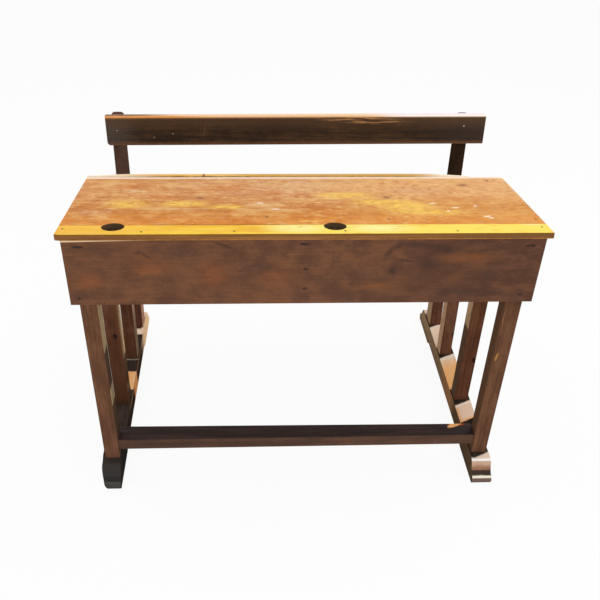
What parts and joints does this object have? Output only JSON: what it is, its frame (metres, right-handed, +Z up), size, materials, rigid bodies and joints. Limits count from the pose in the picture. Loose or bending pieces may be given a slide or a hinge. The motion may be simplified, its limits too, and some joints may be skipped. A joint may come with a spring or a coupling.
{
  "type": "school desk with bench",
  "caption": "Long wooden school desk with a sloping top, inkwell holes and an open book case, joined by runners to its bench with a backrest rail.",
  "frame": {"origin": "on the floor, midway between the two leg frames and midway along the runners", "axes": "+X along the desk, to the right for someone who faces the plain front panel; +Y from the front panel towards the bench; +Z up"},
  "size_m": [1.1135, 0.8, 0.7738],
  "materials": {
    "writing_board_wood": "worn varnish, orange brown, scuffed",
    "strip_wood": "worn varnish, yellow",
    "lath_wood": "worn varnish",
    "case_wood": "dark brown varnish",
    "inside_wood": "bare, dusty",
    "leg_wood": "dark brown stain, worn arrises",
    "rail_wood": "dark brown stain, worn top",
    "runner_wood": "grey brown stain, foot worn",
    "seat_wood": "worn brown varnish",
    "bearer_wood": "dark brown stain",
    "backrest_wood": "dark brown varnish, worn top edge",
    "peg_wood": "dark brown stain",
    "iron": "dull, rust dark"
  },
  "bodies": {
    "root": {"writing_board": "writing_board_wood", "inkwell_strip": "strip_wood", "pencil_stop_short": "lath_wood", "pencil_stop_long": "lath_wood", "front_panel": "case_wood", "book_shelf": "inside_wood", "middle_divider": "inside_wood", "footrest_rail": "rail_wood", "seat_board": "seat_wood", "seat_stretcher": "bearer_wood", "backrest_rail": "backrest_wood", "case_side_right": "case_wood", "case_side_left": "case_wood", "shelf_batten_right": "inside_wood", "shelf_batten_left": "inside_wood", "front_leg_right": "leg_wood", "front_leg_left": "leg_wood", "rear_desk_leg_right": "leg_wood", "rear_desk_leg_left": "leg_wood", "bench_leg_right": "leg_wood", "bench_leg_left": "leg_wood", "back_post_right": "leg_wood", "back_post_left": "leg_wood", "runner_right": "runner_wood", "runner_left": "runner_wood", "seat_bearer_right": "bearer_wood", "seat_bearer_left": "bearer_wood", "strip_nails": "iron", "writing_board_nails": "iron", "panel_nails": "iron", "case_side_brads": "iron", "batten_brads": "iron", "shelf_brads": "iron", "divider_brads": "iron", "seat_brads": "iron", "stretcher_brads": "iron", "pencil_stop_pins": "iron", "bearer_screws": "iron", "backrest_screws": "iron", "runner_pegs": "peg_wood"}
  },
  "joints": []
}
